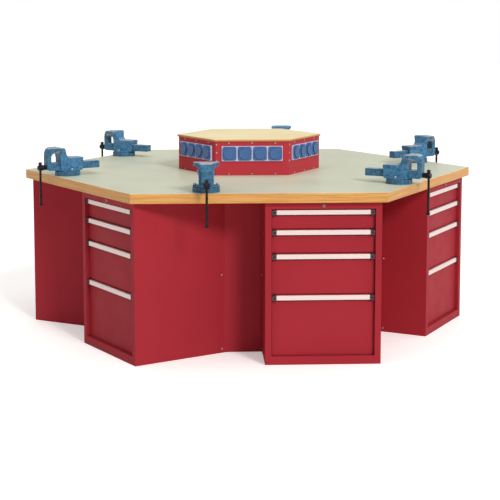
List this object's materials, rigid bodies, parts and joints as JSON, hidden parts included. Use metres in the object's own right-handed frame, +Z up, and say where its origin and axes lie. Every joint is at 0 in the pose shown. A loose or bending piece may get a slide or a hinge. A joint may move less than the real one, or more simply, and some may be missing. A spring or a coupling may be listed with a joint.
{
  "type": "workbench with drawers",
  "caption": "Hexagonal group workbench: a wooden top on red drawer cabinets, a swivelling bench vice at each side and a raised socket pod in the middle.",
  "frame": {"origin": "on the floor, under the centre of the hexagonal top", "axes": "+Z up; +X towards a corner of the top, along its longest diagonal; -Y towards the side whose drawers and vice face the viewer"},
  "size_m": [2.5, 2.341, 1.053],
  "materials": {
    "beech": "satin lacquer on beech plywood",
    "birch": "satin lacquer on birch plywood",
    "covering": "matt grey-green sheet covering",
    "red_enamel": "smooth ruby red powder coat",
    "zinc_steel": "bright zinc plate",
    "chrome": "polished",
    "pale_plastic": "light lavender grey, satin",
    "blue_plastic": "blue, satin",
    "blue_casting": "blue hammered enamel on cast steel",
    "black_steel": "black oxide",
    "grip_aluminium": "bright anodised strip",
    "black_plastic": "dark moulded caps",
    "jaw_steel": "ground tool steel"
  },
  "bodies": {
    "bench": {"worktop": "beech", "worktop_covering": "covering", "cabinet_housings": "red_enamel", "cabinet_locks": "chrome", "drawer_rails": "zinc_steel", "knee_panels": "red_enamel", "panel_and_pod_screws": "zinc_steel", "pod_housing": "red_enamel", "pod_lid": "birch", "socket_frames": "pale_plastic", "socket_covers": "blue_plastic", "vice_bases": "blue_casting"},
    "drawer_1_1": {"drawer_1_1": "red_enamel"},
    "drawer_1_2": {"drawer_1_2": "red_enamel"},
    "drawer_1_3": {"drawer_1_3": "red_enamel"},
    "drawer_1_4": {"drawer_1_4": "red_enamel"},
    "vice_1_body": {"vice_1_body": "blue_casting"},
    "vice_1_jaw": {"vice_1_jaw": "blue_casting"},
    "vice_1_spindle": {"vice_1_spindle": "black_steel"},
    "vice_1_handle": {"vice_1_handle": "black_steel"},
    "drawer_2_1": {"drawer_2_1": "red_enamel"},
    "drawer_2_2": {"drawer_2_2": "red_enamel"},
    "drawer_2_3": {"drawer_2_3": "red_enamel"},
    "drawer_2_4": {"drawer_2_4": "red_enamel"},
    "vice_2_body": {"vice_2_body": "blue_casting"},
    "vice_2_jaw": {"vice_2_jaw": "blue_casting"},
    "vice_2_spindle": {"vice_2_spindle": "black_steel"},
    "vice_2_handle": {"vice_2_handle": "black_steel"},
    "drawer_3_1": {"drawer_3_1": "red_enamel"},
    "drawer_3_2": {"drawer_3_2": "red_enamel"},
    "drawer_3_3": {"drawer_3_3": "red_enamel"},
    "drawer_3_4": {"drawer_3_4": "red_enamel"},
    "vice_3_body": {"vice_3_body": "blue_casting"},
    "vice_3_jaw": {"vice_3_jaw": "blue_casting"},
    "vice_3_spindle": {"vice_3_spindle": "black_steel"},
    "vice_3_handle": {"vice_3_handle": "black_steel"},
    "drawer_4_1": {"drawer_4_1": "red_enamel"},
    "drawer_4_2": {"drawer_4_2": "red_enamel"},
    "drawer_4_3": {"drawer_4_3": "red_enamel"},
    "drawer_4_4": {"drawer_4_4": "red_enamel"},
    "vice_4_body": {"vice_4_body": "blue_casting"},
    "vice_4_jaw": {"vice_4_jaw": "blue_casting"},
    "vice_4_spindle": {"vice_4_spindle": "black_steel"},
    "vice_4_handle": {"vice_4_handle": "black_steel"},
    "drawer_5_1": {"drawer_5_1": "red_enamel"},
    "drawer_5_2": {"drawer_5_2": "red_enamel"},
    "drawer_5_3": {"drawer_5_3": "red_enamel"},
    "drawer_5_4": {"drawer_5_4": "red_enamel"},
    "vice_5_body": {"vice_5_body": "blue_casting"},
    "vice_5_jaw": {"vice_5_jaw": "blue_casting"},
    "vice_5_spindle": {"vice_5_spindle": "black_steel"},
    "vice_5_handle": {"vice_5_handle": "black_steel"},
    "drawer_6_1": {"drawer_6_1": "red_enamel"},
    "drawer_6_2": {"drawer_6_2": "red_enamel"},
    "drawer_6_3": {"drawer_6_3": "red_enamel"},
    "drawer_6_4": {"drawer_6_4": "red_enamel"},
    "vice_6_body": {"vice_6_body": "blue_casting"},
    "vice_6_jaw": {"vice_6_jaw": "blue_casting"},
    "vice_6_spindle": {"vice_6_spindle": "black_steel"},
    "vice_6_handle": {"vice_6_handle": "black_steel"}
  },
  "joints": [
    {"name": "drawer_1_1_slide", "type": "slide", "parent": "bench", "child": "drawer_1_1", "axis": [0, -1, 0], "range_m": [0, 0.45]},
    {"name": "drawer_1_2_slide", "type": "slide", "parent": "bench", "child": "drawer_1_2", "axis": [0, -1, 0], "range_m": [0, 0.45]},
    {"name": "drawer_1_3_slide", "type": "slide", "parent": "bench", "child": "drawer_1_3", "axis": [0, -1, 0], "range_m": [0, 0.45]},
    {"name": "drawer_1_4_slide", "type": "slide", "parent": "bench", "child": "drawer_1_4", "axis": [0, -1, 0], "range_m": [0, 0.45]},
    {"name": "vice_1_swivel", "type": "hinge", "parent": "bench", "child": "vice_1_body", "pos_m": [-0.257, -0.99853, 0.883], "axis": [0, 0, 1], "range_deg": [-45, 45]},
    {"name": "vice_1_jaw_slide", "type": "slide", "parent": "vice_1_body", "child": "vice_1_jaw", "axis": [0, -1, 0], "range_m": [0, 0.12]},
    {"name": "vice_1_screw", "type": "hinge", "parent": "vice_1_jaw", "child": "vice_1_spindle", "pos_m": [-0.257, -0.99853, 0.907], "axis": [0, -1, 0], "range_deg": [0, 4320]},
    {"name": "vice_1_bar_slide", "type": "slide", "parent": "vice_1_spindle", "child": "vice_1_handle", "axis": [0, 0, 1], "range_m": [0, 0.165]},
    {"name": "drawer_2_1_slide", "type": "slide", "parent": "bench", "child": "drawer_2_1", "axis": [0.866, -0.5, 0], "range_m": [0, 0.45]},
    {"name": "drawer_2_2_slide", "type": "slide", "parent": "bench", "child": "drawer_2_2", "axis": [0.866, -0.5, 0], "range_m": [0, 0.45]},
    {"name": "drawer_2_3_slide", "type": "slide", "parent": "bench", "child": "drawer_2_3", "axis": [0.866, -0.5, 0], "range_m": [0, 0.45]},
    {"name": "drawer_2_4_slide", "type": "slide", "parent": "bench", "child": "drawer_2_4", "axis": [0.866, -0.5, 0], "range_m": [0, 0.45]},
    {"name": "vice_2_swivel", "type": "hinge", "parent": "bench", "child": "vice_2_body", "pos_m": [0.73625, -0.72183, 0.883], "axis": [0, 0, 1], "range_deg": [-45, 45]},
    {"name": "vice_2_jaw_slide", "type": "slide", "parent": "vice_2_body", "child": "vice_2_jaw", "axis": [0.866, -0.5, 0], "range_m": [0, 0.12]},
    {"name": "vice_2_screw", "type": "hinge", "parent": "vice_2_jaw", "child": "vice_2_spindle", "pos_m": [0.73625, -0.72183, 0.907], "axis": [0.866, -0.5, 0], "range_deg": [0, 4320]},
    {"name": "vice_2_bar_slide", "type": "slide", "parent": "vice_2_spindle", "child": "vice_2_handle", "axis": [0, 0, 1], "range_m": [0, 0.165]},
    {"name": "drawer_3_1_slide", "type": "slide", "parent": "bench", "child": "drawer_3_1", "axis": [0.866, 0.5, 0], "range_m": [0, 0.45]},
    {"name": "drawer_3_2_slide", "type": "slide", "parent": "bench", "child": "drawer_3_2", "axis": [0.866, 0.5, 0], "range_m": [0, 0.45]},
    {"name": "drawer_3_3_slide", "type": "slide", "parent": "bench", "child": "drawer_3_3", "axis": [0.866, 0.5, 0], "range_m": [0, 0.45]},
    {"name": "drawer_3_4_slide", "type": "slide", "parent": "bench", "child": "drawer_3_4", "axis": [0.866, 0.5, 0], "range_m": [0, 0.45]},
    {"name": "vice_3_swivel", "type": "hinge", "parent": "bench", "child": "vice_3_body", "pos_m": [0.99325, 0.2767, 0.883], "axis": [0, 0, 1], "range_deg": [-45, 45]},
    {"name": "vice_3_jaw_slide", "type": "slide", "parent": "vice_3_body", "child": "vice_3_jaw", "axis": [0.866, 0.5, 0], "range_m": [0, 0.12]},
    {"name": "vice_3_screw", "type": "hinge", "parent": "vice_3_jaw", "child": "vice_3_spindle", "pos_m": [0.99325, 0.2767, 0.907], "axis": [0.866, 0.5, 0], "range_deg": [0, 4320]},
    {"name": "vice_3_bar_slide", "type": "slide", "parent": "vice_3_spindle", "child": "vice_3_handle", "axis": [0, 0, 1], "range_m": [0, 0.165]},
    {"name": "drawer_4_1_slide", "type": "slide", "parent": "bench", "child": "drawer_4_1", "axis": [0, 1, 0], "range_m": [0, 0.45]},
    {"name": "drawer_4_2_slide", "type": "slide", "parent": "bench", "child": "drawer_4_2", "axis": [0, 1, 0], "range_m": [0, 0.45]},
    {"name": "drawer_4_3_slide", "type": "slide", "parent": "bench", "child": "drawer_4_3", "axis": [0, 1, 0], "range_m": [0, 0.45]},
    {"name": "drawer_4_4_slide", "type": "slide", "parent": "bench", "child": "drawer_4_4", "axis": [0, 1, 0], "range_m": [0, 0.45]},
    {"name": "vice_4_swivel", "type": "hinge", "parent": "bench", "child": "vice_4_body", "pos_m": [0.257, 0.99853, 0.883], "axis": [0, 0, 1], "range_deg": [-45, 45]},
    {"name": "vice_4_jaw_slide", "type": "slide", "parent": "vice_4_body", "child": "vice_4_jaw", "axis": [0, 1, 0], "range_m": [0, 0.12]},
    {"name": "vice_4_screw", "type": "hinge", "parent": "vice_4_jaw", "child": "vice_4_spindle", "pos_m": [0.257, 0.99853, 0.907], "axis": [0, 1, 0], "range_deg": [0, 4320]},
    {"name": "vice_4_bar_slide", "type": "slide", "parent": "vice_4_spindle", "child": "vice_4_handle", "axis": [0, 0, 1], "range_m": [0, 0.165]},
    {"name": "drawer_5_1_slide", "type": "slide", "parent": "bench", "child": "drawer_5_1", "axis": [-0.866, 0.5, 0], "range_m": [0, 0.45]},
    {"name": "drawer_5_2_slide", "type": "slide", "parent": "bench", "child": "drawer_5_2", "axis": [-0.866, 0.5, 0], "range_m": [0, 0.45]},
    {"name": "drawer_5_3_slide", "type": "slide", "parent": "bench", "child": "drawer_5_3", "axis": [-0.866, 0.5, 0], "range_m": [0, 0.45]},
    {"name": "drawer_5_4_slide", "type": "slide", "parent": "bench", "child": "drawer_5_4", "axis": [-0.866, 0.5, 0], "range_m": [0, 0.45]},
    {"name": "vice_5_swivel", "type": "hinge", "parent": "bench", "child": "vice_5_body", "pos_m": [-0.73625, 0.72183, 0.883], "axis": [0, 0, 1], "range_deg": [-45, 45]},
    {"name": "vice_5_jaw_slide", "type": "slide", "parent": "vice_5_body", "child": "vice_5_jaw", "axis": [-0.866, 0.5, 0], "range_m": [0, 0.12]},
    {"name": "vice_5_screw", "type": "hinge", "parent": "vice_5_jaw", "child": "vice_5_spindle", "pos_m": [-0.73625, 0.72183, 0.907], "axis": [-0.866, 0.5, 0], "range_deg": [0, 4320]},
    {"name": "vice_5_bar_slide", "type": "slide", "parent": "vice_5_spindle", "child": "vice_5_handle", "axis": [0, 0, 1], "range_m": [0, 0.165]},
    {"name": "drawer_6_1_slide", "type": "slide", "parent": "bench", "child": "drawer_6_1", "axis": [-0.866, -0.5, 0], "range_m": [0, 0.45]},
    {"name": "drawer_6_2_slide", "type": "slide", "parent": "bench", "child": "drawer_6_2", "axis": [-0.866, -0.5, 0], "range_m": [0, 0.45]},
    {"name": "drawer_6_3_slide", "type": "slide", "parent": "bench", "child": "drawer_6_3", "axis": [-0.866, -0.5, 0], "range_m": [0, 0.45]},
    {"name": "drawer_6_4_slide", "type": "slide", "parent": "bench", "child": "drawer_6_4", "axis": [-0.866, -0.5, 0], "range_m": [0, 0.45]},
    {"name": "vice_6_swivel", "type": "hinge", "parent": "bench", "child": "vice_6_body", "pos_m": [-0.99325, -0.2767, 0.883], "axis": [0, 0, 1], "range_deg": [-45, 45]},
    {"name": "vice_6_jaw_slide", "type": "slide", "parent": "vice_6_body", "child": "vice_6_jaw", "axis": [-0.866, -0.5, 0], "range_m": [0, 0.12]},
    {"name": "vice_6_screw", "type": "hinge", "parent": "vice_6_jaw", "child": "vice_6_spindle", "pos_m": [-0.99325, -0.2767, 0.907], "axis": [-0.866, -0.5, 0], "range_deg": [0, 4320]},
    {"name": "vice_6_bar_slide", "type": "slide", "parent": "vice_6_spindle", "child": "vice_6_handle", "axis": [0, 0, 1], "range_m": [0, 0.165]}
  ],
  "couplings": [
    {"joint": "vice_1_jaw_slide", "follows": "vice_1_screw", "m_per_rad": 0.0015915},
    {"joint": "vice_2_jaw_slide", "follows": "vice_2_screw", "m_per_rad": 0.0015915},
    {"joint": "vice_3_jaw_slide", "follows": "vice_3_screw", "m_per_rad": 0.0015915},
    {"joint": "vice_4_jaw_slide", "follows": "vice_4_screw", "m_per_rad": 0.0015915},
    {"joint": "vice_5_jaw_slide", "follows": "vice_5_screw", "m_per_rad": 0.0015915},
    {"joint": "vice_6_jaw_slide", "follows": "vice_6_screw", "m_per_rad": 0.0015915}
  ]
}
